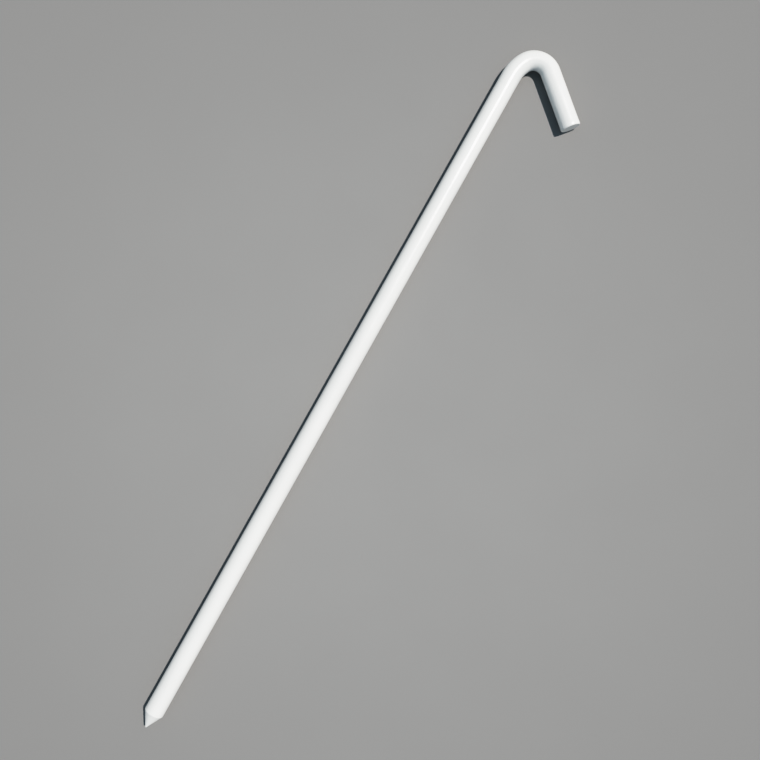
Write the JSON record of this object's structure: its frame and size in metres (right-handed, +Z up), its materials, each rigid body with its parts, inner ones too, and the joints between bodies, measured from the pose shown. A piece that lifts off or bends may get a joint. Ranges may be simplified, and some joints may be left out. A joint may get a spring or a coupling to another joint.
{
  "type": "tent stake",
  "caption": "Hooked tent stake: a round steel bar with a conical ground point and a tightly bent hook, sealed all over in a thick glossy white coating.",
  "frame": {"origin": "middle of the stake's length and width, on the surface that it lies on", "axes": "+X along the shank from the point to the hook, the hook's leg on the -Y side, +Z up"},
  "size_m": [0.5234, 0.0628, 0.0133],
  "materials": {
    "bar_steel": "bare hot-rolled steel, sealed under the coating",
    "white_coating": "thick glossy white coating with a faint orange peel"
  },
  "bodies": {
    "root": {"steel_rod": "bar_steel", "coating": "white_coating"}
  },
  "joints": []
}
